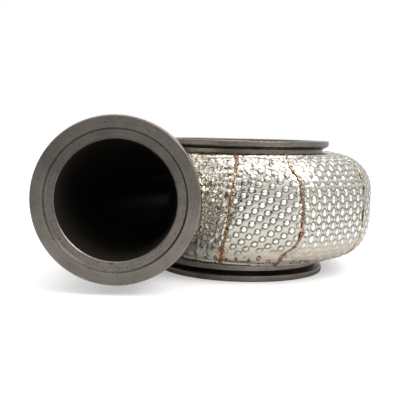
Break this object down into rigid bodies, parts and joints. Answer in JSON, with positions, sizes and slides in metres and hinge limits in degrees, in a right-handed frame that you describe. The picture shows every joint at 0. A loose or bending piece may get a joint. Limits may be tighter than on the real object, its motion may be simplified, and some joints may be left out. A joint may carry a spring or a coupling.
{
  "type": "turbine housing",
  "caption": "Cast turbine housing with clamp flanges at inlet, outlet and centre-housing side, its scroll wrapped in a dimpled foil heat jacket.",
  "frame": {"origin": "centre of the outlet flange's face, on the turbine axis", "axes": "+Z along the turbine axis from the outlet to the centre-housing side; the inlet is on the -X side and opens towards -Y"},
  "size_m": [0.1855, 0.1826, 0.0878],
  "materials": {
    "casting": "machined flanges, satin",
    "dimpled_foil": "embossed stainless foil, bright",
    "plain_foil": "plain stainless foil",
    "seam": "heat-tinted weld seam",
    "fibre": "matt fibre mat"
  },
  "bodies": {
    "root": {"turbine_housing": "casting", "foil_panel_1": "dimpled_foil", "foil_panel_2": "dimpled_foil", "foil_panel_3": "dimpled_foil", "foil_panel_4": "dimpled_foil", "foil_panel_5": "dimpled_foil", "foil_panel_6": "dimpled_foil", "foil_panel_7": "dimpled_foil", "foil_panel_8": "dimpled_foil", "inlet_foil": "dimpled_foil", "lower_fibre_mat": "fibre", "upper_fibre_mat": "fibre", "inlet_fibre_mat": "fibre", "seam_strip_1": "seam", "seam_strip_2": "seam", "seam_strip_3": "seam", "seam_strip_4": "seam", "seam_strip_5": "seam", "seam_strip_6": "seam", "seam_strip_7": "seam", "seam_strip_8": "seam", "lower_edge_band": "plain_foil", "upper_edge_band": "plain_foil", "inlet_edge_band": "plain_foil"}
  },
  "joints": []
}
